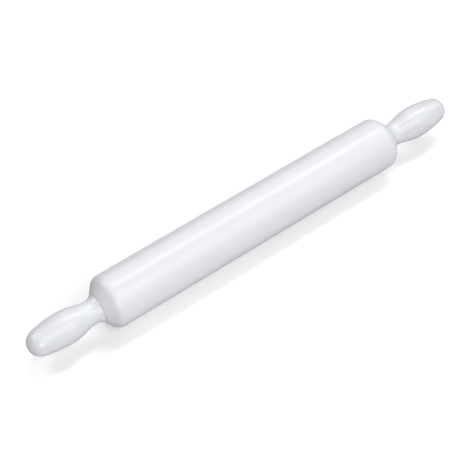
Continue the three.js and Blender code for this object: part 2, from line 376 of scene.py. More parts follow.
class ShapeTree(GroupTree):
    """A geometry tree that takes a shape and a finish and gives a shape."""

    def __init__(self, name, inputs):
        shape = {"Geometry": "NodeSocketGeometry", "Axis Height": 0.0}
        finish = {"Finish": "NodeSocketMaterial"}
        given = {**shape, **inputs, **finish}
        super().__init__(name, "GeometryNodeTree", given, "Geometry", "NodeSocketGeometry")

    def close_shape(self, geometry):
        """Ends the tree: instances become real and the finish is laid on."""
        real = self.put("GeometryNodeRealizeInstances", {0: geometry})
        return self.close(self.put("GeometryNodeSetMaterial", {"Geometry": real, "Material": self["Finish"]}))

    def about_axle(self):
        """Place along the axle, distance out from it and angle about it, at each point of the shape."""
        along, across, up = self.split(self.put("GeometryNodeInputPosition"))
        rise = self.minus(up, self["Axis Height"])
        return along, self.distance(across, rise), self.math("ARCTAN2", across, rise)

    def beside_axle(self, along, out, turn):
        """The place at a distance out from the axle and an angle about it."""
        across = self.times(out, self.math("SINE", turn))
        rise = self.times(out, self.math("COSINE", turn))
        return self.vector(along, across, self.plus(rise, self["Axis Height"]))

    def close_moved(self, along, out, turn):
        """Ends the tree with each point of the shape moved to a new distance out from the axle."""
        values = {"Geometry": self["Geometry"], "Position": self.beside_axle(along, out, turn)}
        return self.close_shape(self.put("GeometryNodeSetPosition", values))

    def zigzag(self, value):
        """Goes evenly from 1 to 0 and back to 1 as the value grows by one."""
        from_middle = self.minus(self.math("FRACT", value), 0.5)
        return self.times(self.math("ABSOLUTE", from_middle), 2.0)

    def balls(self):
        """Balls spread evenly around the axle, the first one on top."""
        turn = self.over(self.times(self.put("GeometryNodeInputIndex"), 2 * math.pi), self["Balls"])
        place = self.beside_axle(self["Middle"], self["Pitch Radius"], turn)
        points = self.put("GeometryNodePoints", {"Count": self["Balls"], "Position": place})
        ball = self.put("GeometryNodeMeshIcoSphere", {"Radius": self["Ball Radius"], "Subdivisions": 4})
        return self.put("GeometryNodeInstanceOnPoints", {"Points": points, "Instance": ball})


def turned_profile_tree():
    """Turns a profile about the axle. The profile is a chain of edges, X along the axle and Z out from it."""
    tree = ShapeTree("Turned Profile", {"Segments": 96})
    path_radius = 0.1
    along, _, out = tree.split(tree.put("GeometryNodeInputPosition"))
    across_path = tree.vector(tree.minus(out, path_radius), tree.times(along, -1.0), 0.0)
    section = tree.put("GeometryNodeMeshToCurve", {"Mesh": tree["Geometry"]})
    section = tree.put("GeometryNodeSetPosition", {"Geometry": section, "Position": across_path})
    values = {"Resolution": tree["Segments"], "Radius": path_radius}
    path = tree.put("GeometryNodeCurvePrimitiveCircle", values)
    skin = tree.put("GeometryNodeCurveToMesh", {"Curve": path, "Profile Curve": section})
    lift = tree.vector(0.0, 0.0, tree["Axis Height"])
    values = {"Geometry": skin, "Translation": lift, "Rotation": (0.0, math.pi / 2, 0.0)}
    return tree.close_shape(tree.put("GeometryNodeTransform", values))


def screw_thread_tree():
    """Cuts thread turns into the surfaces within a radius, from a place along the axle outward."""
    thread = {"Pitch": 0.0015, "Depth": 0.0008, "Crest Radius": 0.005}
    reach = {"Near End": 0.0, "Greatest Radius": 1.0}
    tree = ShapeTree("Screw Thread", {**thread, **reach})
    crest_end = 0.12
    root_start = 0.88
    along, out, turn = tree.about_axle()
    turns = tree.minus(tree.over(along, tree["Pitch"]), tree.over(turn, 2 * math.pi))
    flank = tree.ramp(tree.zigzag(turns), crest_end, root_start, way="LINEAR")
    run_out = tree.plus(tree["Near End"], tree["Pitch"])
    fade = tree.ramp(tree.math("ABSOLUTE", along), tree["Near End"], run_out)
    within = tree.math("LESS_THAN", out, tree["Greatest Radius"])
    cut = tree.times(flank, tree["Depth"], tree.times(fade, within))
    limit = tree.minus(tree.math("MAXIMUM", tree["Crest Radius"], out), cut)
    return tree.close_moved(along, tree.math("MINIMUM", out, limit), turn)


def hexagon_tree():
    """Cuts six flats around a turned blank, so that its slanted rims turn into the arcs of a real nut."""
    tree = ShapeTree("Hexagon Flats", {"Across Flats": 0.016})
    along, out, turn = tree.about_axle()
    sector = math.pi / 3
    from_flat = tree.minus(tree.math("FLOORED_MODULO", turn, sector), sector / 2)
    limit = tree.over(tree.times(tree["Across Flats"], 0.5), tree.math("COSINE", from_flat))
    return tree.close_moved(along, tree.math("MINIMUM", out, limit), turn)


def diamond_knurl_tree():
    """Presses two crossing sets of slanted grooves into the surfaces that lie beyond a radius."""
    tree = ShapeTree("Diamond Knurl", {"Teeth": 20, "Lead": 0.002, "Depth": 0.0005, "Least Radius": 0.0})
    along, out, turn = tree.about_axle()
    rounds = tree.times(tree.over(turn, 2 * math.pi), tree["Teeth"])
    drift = tree.over(along, tree["Lead"])
    rising = tree.zigzag(tree.plus(rounds, drift))
    falling = tree.zigzag(tree.minus(rounds, drift))
    depth = tree.minus(1.0, tree.math("MINIMUM", rising, falling))
    beyond = tree.math("GREATER_THAN", out, tree["Least Radius"])
    cut = tree.times(depth, tree["Depth"], beyond)
    return tree.close_moved(along, tree.minus(out, cut), turn)


BALL_INPUTS = {"Balls": 7, "Ball Radius": 0.0024, "Pitch Radius": 0.009, "Middle": 0.0}


def ball_ring_tree():
    """The balls of one bearing."""
    tree = ShapeTree("Ball Ring", BALL_INPUTS)
    return tree.close_shape(tree.balls())


def crown_cage_tree():
    """Cuts the ball pockets out of a turned blank, which leaves a crown of fingers."""
    tree = ShapeTree("Crown Cage", BALL_INPUTS)
    pockets = tree.put("GeometryNodeRealizeInstances", {0: tree.balls()})
    values = {"Mesh 1": tree["Geometry"], "Mesh 2": pockets}
    crown = tree.put("GeometryNodeMeshBoolean", values, operation="DIFFERENCE", solver="EXACT")
    return tree.close_shape(crown)


def effect_tree(name, output, inputs):
    """A shader group that gives one value, which changes over the surface."""
    return GroupTree(name, "ShaderNodeTree", inputs, output, "NodeSocketFloat")


def turning_marks_tree():
    """Fine rings left by the lathe, as a height that changes along the axle and out from it."""
    tree = effect_tree("Turning Marks", "Height", {"Axis Height": AXIS_HEIGHT, "Spacing": 0.001})
    along, across, up = tree.split(tree.place())
    path = tree.plus(along, tree.distance(across, tree.minus(up, tree["Axis Height"])))
    values = {"W": tree.over(path, tree["Spacing"]), "Scale": 1.0, "Detail": 3.0, "Roughness": 0.6}
    return tree.close(tree.put("ShaderNodeTexNoise", values, noise_dimensions="1D"))


def clouding_tree():
    """Soft patches of two sizes, as a mask."""
    tree = effect_tree("Clouding", "Mask", {"Size": 0.05})
    place = tree.place()
    scale = tree.over(1.0, tree["Size"])
    broad = tree.noise(place, scale)
    fine = tree.noise(place, tree.times(scale, 6.0), detail=4.0, roughness=0.6)
    return tree.close(tree.ramp(tree.weighted((broad, 0.65), (fine, 0.35)), 0.35, 0.65))


def scuffs_tree():
    """Sparse hair scratches in two directions, as a mask."""
    tree = effect_tree("Scuffs", "Mask", {"Size": 0.02, "Amount": 0.5})
    place = tree.place()
    scale = tree.over(1.0, tree["Size"])
    patches = tree.ramp(tree.noise(place, tree.times(scale, 0.6)), 0.52, 0.7)
    lines = []
    for turn, stretch in ((0.5, (0.12, 1.0, 1.0)), (-0.9, (1.0, 0.15, 1.0))):
        values = {"Vector": place, "Rotation": (turn, turn * 0.7, turn), "Scale": stretch}
        values = {"Vector": tree.put("ShaderNodeMapping", values), "Scale": scale}
        cells = tree.add("ShaderNodeTexVoronoi", values, feature="DISTANCE_TO_EDGE").outputs["Distance"]
        lines.append(tree.ramp(cells, 0.0, 0.02, at_low=1.0, at_high=0.0))
    return tree.close(tree.times(tree.math("MAXIMUM", *lines), patches, tree["Amount"]))


TREES = {
    "Turned Profile": turned_profile_tree,
    "Screw Thread": screw_thread_tree,
    "Hexagon Flats": hexagon_tree,
    "Diamond Knurl": diamond_knurl_tree,
    "Ball Ring": ball_ring_tree,
    "Crown Cage": crown_cage_tree,
    "Turning Marks": turning_marks_tree,
    "Clouding": clouding_tree,
    "Scuffs": scuffs_tree,
}


def tree_named(name):
    """A node group, built the first time it is asked for."""
    return bpy.data.node_groups.get(name) or TREES[name]()


def corner_arc(corner, before, after, rounding):
    """Points of the arc that rounds a corner, between the way in and the way out."""
    half_angle = before.angle(after) / 2
    reach = min(rounding / math.tan(half_angle), before.length / 2, after.length / 2)
    size = reach * math.tan(half_angle)
    middle = (before.normalized() + after.normalized()).normalized()
    centre = corner + middle * (size / math.sin(half_angle))
    spoke = corner + before.normalized() * reach - centre
    last_spoke = corner + after.normalized() * reach - centre
    turn = -spoke.angle_signed(last_spoke)
    return [centre + Matrix.Rotation(turn * step / ARC_STEPS, 2) @ spoke for step in range(ARC_STEPS + 1)]


def rounded(corners, closed=True):
    """Points of an outline through (along, out, rounding) corners. A rounding of 0 keeps the corner sharp."""
    points = []
    last = len(corners) - 1
    for index, (along, out, rounding) in enumerate(corners):
        corner = Vector((along, out))
        if rounding == 0 or (not closed and index in (0, last)):
            points.append(corner)
            continue
        before = Vector(corners[index - 1][:2]) - corner
        after = Vector(corners[(index + 1) % len(corners)][:2]) - corner
        points.extend(corner_arc(corner, before, after, rounding))
    return points


def mirrored(corners):
    """The same corners at the other end of the axle, in turned order."""
    return [(-along, out, rounding) for along, out, rounding in reversed(corners)]


def ring_section(start, end, inner, outer, rounding):
    """Outline of a plain ring with four equal edges."""
    corners = ((start, inner), (start, outer), (end, outer), (end, inner))
    return rounded([(*corner, rounding) for corner in corners])


def arc_about(along, out, size, first, last, steps):
    """Points of an arc about a place, where angle 0 points out from the axle and 90 degrees along it."""
    angles = [first + (last - first) * step / steps for step in range(steps + 1)]
    return [(along + size * math.sin(turn), out + size * math.cos(turn)) for turn in angles]


def curve(first, set_off, last, come_in, steps):
    """Points of a smooth curve that sets off from one place and comes in at another, without the last one."""
    first_guide = (first[0] + set_off[0], first[1] + set_off[1])
    last_guide = (last[0] - come_in[0], last[1] - come_in[1])
    corners = [Vector((*corner, 0)) for corner in (first, first_guide, last_guide, last)]
    return [point.to_2d() for point in interpolate_bezier(*corners, steps)[:-1]]


def spaced(first, last, steps):
    """Evenly spaced sharp corners from one (along, out) place up to, but without, another."""
    start = Vector(first)
    way = Vector(last) - start
    return [(*(start + way * step / steps), 0) for step in range(steps)]


def thread_step(size, crest, near_end, finish):
    """The shaping step that cuts a thread into a turned piece, where it is no wider than the crest."""
    values = {
        "Pitch": size.thread_pitch,
        "Depth": size.thread_depth,
        "Crest Radius": crest,
        "Near End": near_end,
        "Greatest Radius": crest + THREAD_MARGIN,
        "Finish": finish,
    }
    return "Screw Thread", values


def bore_radius(size):
    """Radius of a bore that runs on the axle's thread."""
    return size.journal_radius + size.thread_gap


def with_bore(size, start, end, outside):
    """Outline of a piece with a bore right through, which has slanted rims and points for a thread."""
    bore = bore_radius(size)
    sink = size.bore_sink
    steps = round((end - start) / size.thread_pitch * THREAD_STEPS)
    corners = [
        (start, bore + sink, 0),
        *outside,
        (end, bore + sink, 0),
        *spaced((end - sink, bore), (start + sink, bore), steps),
        (start + sink, bore, 0),
    ]
    return rounded(corners)


def profile_mesh(name, points, closed):
    """A chain of edges in the XZ plane, for the Turned Profile tree."""
    mesh = bpy.data.meshes.new(name)
    edges = [(index, index + 1) for index in range(len(points) - 1)]
    if closed:
        edges.append((len(points) - 1, 0))
    mesh.from_pydata([(along, 0, out) for along, out in points], edges, [])
    return mesh


def tidy_mesh(mesh):
    """Merges doubles, turns faces outward and shades smooth except across sharp edges."""
    work = bmesh.new()
    work.from_mesh(mesh)
    bmesh.ops.remove_doubles(work, verts=work.verts, dist=MERGE_DISTANCE)
    bmesh.ops.dissolve_degenerate(work, edges=work.edges, dist=MERGE_DISTANCE)
    bmesh.ops.recalc_face_normals(work, faces=work.faces)
    open_edges = [edge for edge in work.edges if not edge.is_manifold]
    work.to_mesh(mesh)
    work.free()
    if open_edges:
        raise RuntimeError(f"{mesh.name} has {len(open_edges)} open edges")
    mesh.shade_smooth()
    mesh.set_sharp_from_angle(angle=SHARP_EDGE)


def in_scene(context, name, data):
    """A new object in the scene."""
    item = bpy.data.objects.new(name, data)
    context.scene.collection.objects.link(item)
    return item


def shaped(context, name, mesh, steps):
    """Runs geometry trees on a mesh in turn and keeps the result as a plain mesh object."""
    piece = in_scene(context, name, mesh)
    for tree_name, values in steps:
        tree = tree_named(tree_name)
        modifier = piece.modifiers.new(tree_name, "NODES")
        modifier.node_group = tree
        sockets = {item.name: item.identifier for item in tree.interface.items_tree if item.in_out == "INPUT"}
        for label, value in {"Axis Height": AXIS_HEIGHT, **values}.items():
            modifier[sockets[label]] = value
    context.view_layer.update()
    evaluated = piece.evaluated_get(context.evaluated_depsgraph_get())
    result = bpy.data.meshes.new_from_object(evaluated)
    piece.modifiers.clear()
    piece.data = result
    result.name = name
    tidy_mesh(result)
    return piece


def turned(context, name, points, segments, finish, *more_steps, closed=True):
    """A turned piece, with more shaping steps after the turning."""
    steps = [("Turned Profile", {"Segments": segments, "Finish": finish}), *more_steps]
    return shaped(context, name, profile_mesh(name, points, closed), steps)


def for_side(piece, side):
    """Swings a piece made for the end at +X to the other end where that is its side."""
    if side == "left":
        piece.data.transform(Matrix.Rotation(math.pi, 4, "Z"))
    return piece


def chosen(context, part):
    """The settings of one part, and the finish of all parts."""
    settings = context.scene.rolling_pin
    return getattr(settings, part), settings.finish


def settle(piece, body, slot, *nodes):
    """Puts a finished piece in the place of its CAD nodes and on its body."""
    if not piece.data.polygons:
        raise RuntimeError(f"{piece.name} came out empty")
    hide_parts(*nodes)
    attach(piece, body)


def turned_pair(context, name, node, body, slot, *shape, closed=True):
    """Makes a turned piece at both ends of the axle, each in the place of its CAD node."""
    for side in SIDES:
        piece = turned(context, f"{name}_{side}", *shape, closed=closed)
        settle(for_side(piece, side), body, slot, f"{node}_{side}")


def toned(tone, factor=1.0):
    """A lighter or darker tone with full alpha, for a node socket."""
    return (*[min(1.0, part * factor) for part in tone], 1.0)


class Finish(NodeTree):
    """A material with constant values on its Principled shader and trees that lead to the other sockets."""

    def __init__(self, name, constants):
        self.material = bpy.data.materials.new(name)
        self.material.use_nodes = True
        super().__init__(self.material.node_tree)
        self.shader = self.data.nodes["Principled BSDF"].inputs
        for label, value in constants.items():
            self.shader[label].default_value = value

    def effect(self, name, **values):
        """A shared effect with its own values."""
        sockets = {label.title(): value for label, value in values.items()}
        return self.put("ShaderNodeGroup", sockets, node_tree=tree_named(name))

    def lead(self, label, value):
        self.join(value, self.shader[label])

    def tint(self, amount, first, second):
        self.lead("Base Color", self.mixed(amount, first, second))

    def dull(self, least, *pairs):
        """Roughness: its least value and what weighted effects add."""
        self.lead("Roughness", self.plus(least, self.weighted(*pairs)))

    def emboss(self, height, strength, distance):
        """Fine relief that follows a height."""
        values = {"Strength": strength, "Distance": distance, "Height": height}
        self.lead("Normal", self.put("ShaderNodeBump", values))


def polyethylene(look, part, smooth_length):
    """Waxy white plastic: light passes a little way in, faint clouds, a few scuffs and lathe rings, which
    are deeper beyond the smooth length on either side of the middle."""
    constants = {
        "IOR": 1.52,
        "Specular IOR Level": 0.35,
        "Subsurface Weight": 0.3,
        "Subsurface Radius": (1.0, 0.95, 0.9),
        "Subsurface Scale": 3.0 * MM,
    }
    finish = Finish(f"{part}_polyethylene", constants)
    tone = getattr(look, f"{part}_plastic")
    least = getattr(look, f"{part}_roughness")
    uneven = getattr(look, f"{part}_unevenness")
    from_middle = finish.math("ABSOLUTE", finish.split(finish.place())[0])
    deeper = finish.ramp(from_middle, smooth_length, smooth_length + 8 * MM, at_high=10.0)
    clouds = finish.effect("Clouding", size=0.045)
    mottles = finish.effect("Clouding", size=0.018)
    scuffs = finish.effect("Scuffs", size=0.016, amount=0.8)
    rings = finish.effect("Turning Marks", spacing=0.9 * MM)
    bands = finish.effect("Turning Marks", spacing=7 * MM)
    ridges = finish.effect("Turning Marks", spacing=2.2 * MM)
    haze = finish.weighted((clouds, 0.14), (mottles, 0.12), (scuffs, 0.3))
    finish.tint(haze, toned(tone), toned(look.plastic_shade))
    finish.dull(least, (clouds, 0.05 * uneven), (bands, 0.08 * uneven), (scuffs, 0.12 * uneven))
    height = finish.weighted((rings, 0.5), (bands, 1.2), (scuffs, -0.8), (ridges, deeper))
    finish.emboss(height, strength=0.35, distance=0.02 * MM * uneven)
    return finish.material


def turned_steel(name, tone, roughness, spacing, depth):
    """Bright steel with lathe rings, faint stains and a few scratches."""
    finish = Finish(name, {"Metallic": 1.0})
    clouds = finish.effect("Clouding", size=0.012)
    scuffs = finish.effect("Scuffs", size=0.006, amount=0.7)
    rings = finish.effect("Turning Marks", spacing=spacing)
    finish.tint(finish.times(clouds, 0.5), toned(tone), toned(tone, 0.8))
    finish.dull(roughness, (rings, 0.14), (scuffs, 0.15))
    height = finish.minus(rings, finish.times(scuffs, 0.6))
    finish.emboss(height, strength=0.5, distance=depth)
    return finish.material


def ball_steel(name, tone):
    """Mirror-bright ball steel with a faint haze."""
    finish = Finish(name, {"Metallic": 1.0})
    clouds = finish.effect("Clouding", size=0.003)
    finish.tint(clouds, toned(tone), toned(tone, 0.9))
    finish.lead("Roughness", finish.ramp(clouds, 0.0, 1.0, at_low=0.06, at_high=0.13))
    return finish.material


def moulded(name, tone, roughness, grain):
    """Moulded polyamide or rubber: a fine grain in the surface and a slightly uneven tone."""
    finish = Finish(name, {"IOR": 1.5})
    fine = finish.noise(finish.place(), 1 / grain, detail=4.0, roughness=0.6)
    finish.tint(finish.effect("Clouding", size=0.006), toned(tone), toned(tone, 1.2))
    finish.lead("Roughness", finish.ramp(fine, 0.3, 0.7, roughness - 0.06, roughness + 0.1))
    finish.emboss(fine, strength=0.4, distance=0.02 * MM)
    return finish.material


def studio_floor(name, tone, stage):
    """Plain matt white paper with a barely uneven tone. To the eye it is lifted towards white, as in an
    overexposed picture, and it is quite white far from the pin. But it throws back only the light of a
    pale table."""
    finish = Finish(name, {"Roughness": 0.9, "Specular IOR Level": 0.1, "Emission Color": WHITE})
    place = finish.place()
    seen = finish.seen()
    paper = finish.mixed(finish.noise(place, 3.0), toned(tone), toned(tone, 0.99))
    finish.tint(seen, toned([stage.floor_bounce] * 3), paper)
    away = finish.add("ShaderNodeVectorMath", {0: place}, operation="LENGTH").outputs["Value"]
    glow = finish.ramp(away, stage.glow_start, stage.glow_end, at_low=stage.floor_lift)
    finish.lead("Emission Strength", finish.times(seen, glow))
    return finish.material


class ROLLINGPIN_OT_add_roller(bpy.types.Operator):
    """Makes the plastic barrel with its sloping shoulders, bearing seats and bore"""

    bl_idname = "rolling_pin.add_roller"
    bl_label = "Add Roller"

    def execute(self, context):
        size, look = chosen(context, "roller")
        seat = OUTER_RADIUS + size.seat_gap
        back = OUTER_START - size.seat_gap
        relief = back - size.relief_depth
        land = SEAL_RADIUS + size.seat_gap
        end_face = seat + size.end_wall
        shoulder = size.half_length - (size.radius - end_face) / math.tan(size.shoulder_slope)
        right = [
            (shoulder, size.radius, size.shoulder_rounding),
            (size.half_length, end_face, size.rim_rounding),
            (size.half_length, seat, WIDE_EDGE),
            (back, seat, FINE_EDGE),
            (back, land, SOFT_EDGE),
            (relief, land, FINE_EDGE),
            (relief, size.bore, WIDE_EDGE),
        ]
        finish = polyethylene(look, "roller", shoulder)
        piece = turned(context, "roller_barrel", rounded(right + mirrored(right)), size.segments, finish)
        settle(piece, "roller_body", "roller_plastic", "roller")
        return {"FINISHED"}


class ROLLINGPIN_OT_add_handles(bpy.types.Operator):
    """Makes the two plastic handles with their collars, necks, bellies, round tips and bored holes"""

    bl_idname = "rolling_pin.add_handles"
    bl_label = "Add Handles"

    def outside(self, size):
        """Points from the collar's outer edge along the neck, belly and taper to the tip."""
        edge = (HANDLE_START + size.collar_width, size.collar_radius)
        neck = (HANDLE_START + size.neck_place, size.neck_radius)
        belly = (HANDLE_START + size.belly_place, size.belly_radius)
        tip_middle = HANDLE_END - size.tip_radius
        tip = arc_about(tip_middle, 0, size.tip_radius, size.tip_blend, math.pi / 2, TIP_STEPS)
        flare = size.neck_place - size.collar_width
        swell = size.belly_place - size.neck_place
        taper = tip[0][0] - belly[0]
        lead = flare * size.flare_guide
        pull = taper * size.tip_guide
        down_flare = (lead, -lead * math.tan(size.flare_slope))
        down_tip = (pull * math.cos(size.tip_blend), -pull * math.sin(size.tip_blend))
        return [
            *curve(edge, down_flare, neck, (flare * size.flare_neck_guide, 0), FLARE_STEPS),
            *curve(neck, (swell * size.neck_guide, 0), belly, (swell * size.belly_guide, 0), SWELL_STEPS),
            *curve(belly, (taper * size.taper_guide, 0), tip[0], down_tip, TAPER_STEPS),
            *tip,
        ]

    def execute(self, context):
        size, look = chosen(context, "handle")
        bore = bore_radius(context.scene.rolling_pin.axle)
        insert_hole = INSERT_RADIUS + size.hole_gap
        insert_end = INSERT_END + size.hole_gap
        pocket = NUT_RADIUS + size.pocket_gap
        bottom = AXLE_END + size.drill_gap
        point = bottom + bore / math.tan(size.drill_point)
        inside = [
            (point, 0, 0),
            (bottom, bore, 0),
            (insert_end, bore, FINE_EDGE),
            (insert_end, insert_hole, FINE_EDGE),
            (INSERT_START, insert_hole, SOFT_EDGE),
            (INSERT_START, pocket, FINE_EDGE),
            (HANDLE_START, pocket, WIDE_EDGE),
            (HANDLE_START, size.collar_radius, size.collar_rounding),
        ]
        outside = [(along, out, 0) for along, out in self.outside(size)]
        points = rounded(inside + outside, closed=False)
        finish = polyethylene(look, "handle", HANDLE_END)
        names = ("handle_grip", "handle", "axle_and_handles", "handle_plastic")
        turned_pair(context, *names, points, size.segments, finish, closed=False)
        return {"FINISHED"}


class ROLLINGPIN_OT_add_axle(bpy.types.Operator):
    """Makes the steel axle with its steps, threaded ends and slanted tips"""

    bl_idname = "rolling_pin.add_axle"
    bl_label = "Add Axle"

    def execute(self, context):
        size, look = chosen(context, "axle")
        journal = size.journal_radius
        tip_radius = journal - size.tip_chamfer
        thread_end = AXLE_END - size.tip_chamfer
        steps = round((thread_end - size.thread_start) / size.thread_pitch * THREAD_STEPS)
        right = [
            (size.shoulder_place, size.rod_radius, SOFT_EDGE),
            (size.shoulder_place, journal, FINE_EDGE),
            *spaced((size.thread_start, journal), (thread_end, journal), steps),
            *spaced((thread_end, journal), (AXLE_END, tip_radius), THREAD_STEPS),
            (AXLE_END, tip_radius, 0),
            (AXLE_END, 0, 0),
        ]
        finish = turned_steel(
            "turned_stainless", look.axle_steel, roughness=0.2, spacing=0.5 * MM, depth=0.01 * MM
        )
        thread = thread_step(size, journal, size.thread_start, finish)
        points = rounded(mirrored(right) + right, closed=False)
        piece = turned(context, "axle_rod", points, size.segments, finish, thread, closed=False)
        settle(piece, "axle_and_handles", "axle_steel", "axle")
        return {"FINISHED"}


class ROLLINGPIN_OT_add_spacers(bpy.types.Operator):
    """Makes the steel sleeves between the bearings and the lock nuts"""

    bl_idname = "rolling_pin.add_spacers"
    bl_label = "Add Spacers"

    def execute(self, context):
        size, look = chosen(context, "axle")
        points = ring_section(SPACER_START, SPACER_END, size.spacer_bore, SPACER_RADIUS, SOFT_EDGE)
        finish = turned_steel(
            "spacer_stainless", look.axle_steel, roughness=0.26, spacing=0.3 * MM, depth=0.01 * MM
        )
        names = ("spacer_sleeve", "spacer", "axle_and_handles", "spacer_steel")
        turned_pair(context, *names, points, size.segments, finish)
        return {"FINISHED"}


class ROLLINGPIN_OT_add_lock_nuts(bpy.types.Operator):
    """Makes the thin hexagon nuts that clamp the bearings"""

    bl_idname = "rolling_pin.add_lock_nuts"
    bl_label = "Add Lock Nuts"

    def execute(self, context):
        size, look = chosen(context, "axle")
        face = size.nut_flats / 2 - size.nut_face_step
        first = NUT_START + size.nut_chamfer
        last = NUT_END - size.nut_chamfer
        outside = [
            *spaced((NUT_START, face), (first, NUT_RADIUS), SLANT_STEPS),
            *spaced((first, NUT_RADIUS), (last, NUT_RADIUS), SIDE_STEPS),
            *spaced((last, NUT_RADIUS), (NUT_END, face), SLANT_STEPS),
            (NUT_END, face, 0),
        ]
        finish = turned_steel(
            "nut_stainless", look.axle_steel, roughness=0.24, spacing=0.4 * MM, depth=0.012 * MM
        )
        flats = ("Hexagon Flats", {"Across Flats": size.nut_flats, "Finish": finish})
        thread = thread_step(size, bore_radius(size), 0.0, finish)
        points = with_bore(size, NUT_START, NUT_END, outside)
        names = ("lock_nut_hexagon", "lock_nut", "axle_and_handles", "nut_steel")
        turned_pair(context, *names, points, size.nut_segments, finish, flats, thread)
        return {"FINISHED"}


class ROLLINGPIN_OT_add_inserts(bpy.types.Operator):
    """Makes the knurled brass inserts that hold the handles on the axle"""

    bl_idname = "rolling_pin.add_inserts"
    bl_label = "Add Threaded Inserts"

    def outside(self, size):
        """Points along the knurled bands with a plain groove between each two."""
        valley = INSERT_RADIUS - size.groove_depth
        grooves = (size.knurl_bands - 1) * size.groove_width
        band = (INSERT_END - INSERT_START - grooves) / size.knurl_bands
        steps = round(band / size.knurl_lead * KNURL_STEPS)
        points = []
        for index in range(size.knurl_bands):
            first = INSERT_START + index * (band + size.groove_width)
            last = first + band
            crest_start = (first + size.groove_slant, INSERT_RADIUS)
            crest_end = (last - size.groove_slant, INSERT_RADIUS)
            points.append((first, valley, 0))
            points.extend(spaced(crest_start, crest_end, steps))
            points.append((*crest_end, 0))
            points.append((last, valley, 0))
        return points

    def execute(self, context):
        size, look = chosen(context, "axle")
        finish = turned_steel(
            "insert_brass", look.insert_brass, roughness=0.28, spacing=0.4 * MM, depth=0.012 * MM
        )
        knurl = {
            "Teeth": size.knurl_teeth,
            "Lead": size.knurl_lead,
            "Depth": size.knurl_depth,
            "Least Radius": INSERT_RADIUS - KNURL_MARGIN,
            "Finish": finish,
        }
        steps = (("Diamond Knurl", knurl), thread_step(size, bore_radius(size), 0.0, finish))
        points = with_bore(size, INSERT_START, INSERT_END, self.outside(size))
        names = ("insert_knurled", "threaded_insert", "axle_and_handles", "insert_brass")
        turned_pair(context, *names, points, size.knurl_teeth * KNURL_STEPS, finish, *steps)
        return {"FINISHED"}


class ROLLINGPIN_OT_add_bearing_rings(bpy.types.Operator):
    """Makes the inner and outer rings of both bearings with their ball grooves"""

    bl_idname = "rolling_pin.add_bearing_rings"
    bl_label = "Add Bearing Rings"

    def groove(self, size, land, middle_angle):
        """Points of a ball groove, from the side at -X to the side at +X when it faces the axle."""
        spread = math.acos(abs(land - size.pitch_radius) / size.groove_radius)
        circle = (BEARING_MIDDLE, size.pitch_radius, size.groove_radius)
        arc = arc_about(*circle, middle_angle + spread, middle_angle - spread, GROOVE_STEPS)
        return [(along, out, 0) for along, out in arc]

    def execute(self, context):
        size, look = chosen(context, "bearing")
        rim = size.ring_rounding
        land = SEAL_RADIUS + context.scene.rolling_pin.roller.seat_gap
        outer_ring = [
            (OUTER_START, OUTER_RADIUS, rim),
            (OUTER_END, OUTER_RADIUS, rim),
            (OUTER_END, land, rim / 2),
            *self.groove(size, land, 0.0),
            (OUTER_START, land, rim / 2),
        ]
        inner_ring = [
            (OUTER_START, size.bore, rim),
            (OUTER_START, INNER_RADIUS, rim / 2),
            *self.groove(size, INNER_RADIUS, math.pi),
            (OUTER_END, INNER_RADIUS, rim / 2),
            (OUTER_END, size.bore, rim),
        ]
        finish = turned_steel(
            "race_steel", look.race_steel, roughness=0.12, spacing=0.25 * MM, depth=0.004 * MM
        )
        names = ("bearing_outer_race", "bearing_outer_ring", "roller_body", "race_steel")
        turned_pair(context, *names, rounded(outer_ring), size.segments, finish)
        names = ("bearing_inner_race", "bearing_inner_ring", "axle_and_handles", "race_steel")
        turned_pair(context, *names, rounded(inner_ring), size.segments, finish)
        return {"FINISHED"}


class ROLLINGPIN_OT_add_cages_and_balls(bpy.types.Operator):
    """Makes the crown cages of both bearings and the balls in them"""

    bl_idname = "rolling_pin.add_cages_and_balls"
    bl_label = "Add Cages and Balls"

    def execute(self, context):
        size, look = chosen(context, "bearing")
        inner = 2 * size.pitch_radius - CAGE_RADIUS
        blank = ring_section(CAGE_START, CAGE_END, inner, CAGE_RADIUS, SOFT_EDGE)
        cage_finish = moulded("cage_polyamide", look.cage_plastic, roughness=0.45, grain=0.4 * MM)
        ball_finish = ball_steel("ball_steel", look.ball_steel)
        spread = {"Balls": size.balls, "Pitch Radius": size.pitch_radius, "Middle": BEARING_MIDDLE}
        pockets = {**spread, "Ball Radius": size.ball_radius + size.pocket_gap, "Finish": cage_finish}
        balls = {**spread, "Ball Radius": size.ball_radius, "Finish": ball_finish}
        for side in SIDES:
            body = f"cage_{side}"
            name = f"bearing_crown_{side}"
            piece = turned(context, name, blank, size.segments, cage_finish, ("Crown Cage", pockets))
            settle(for_side(piece, side), body, "cage_plastic", f"bearing_cage_{side}")
            name = f"bearing_balls_{side}"
            piece = shaped(context, name, bpy.data.meshes.new(name), [("Ball Ring", balls)])
            nodes = [f"bearing_ball_{side}_{index + 1}" for index in range(size.balls)]
            settle(for_side(piece, side), body, "ball_steel", *nodes)
        return {"FINISHED"}


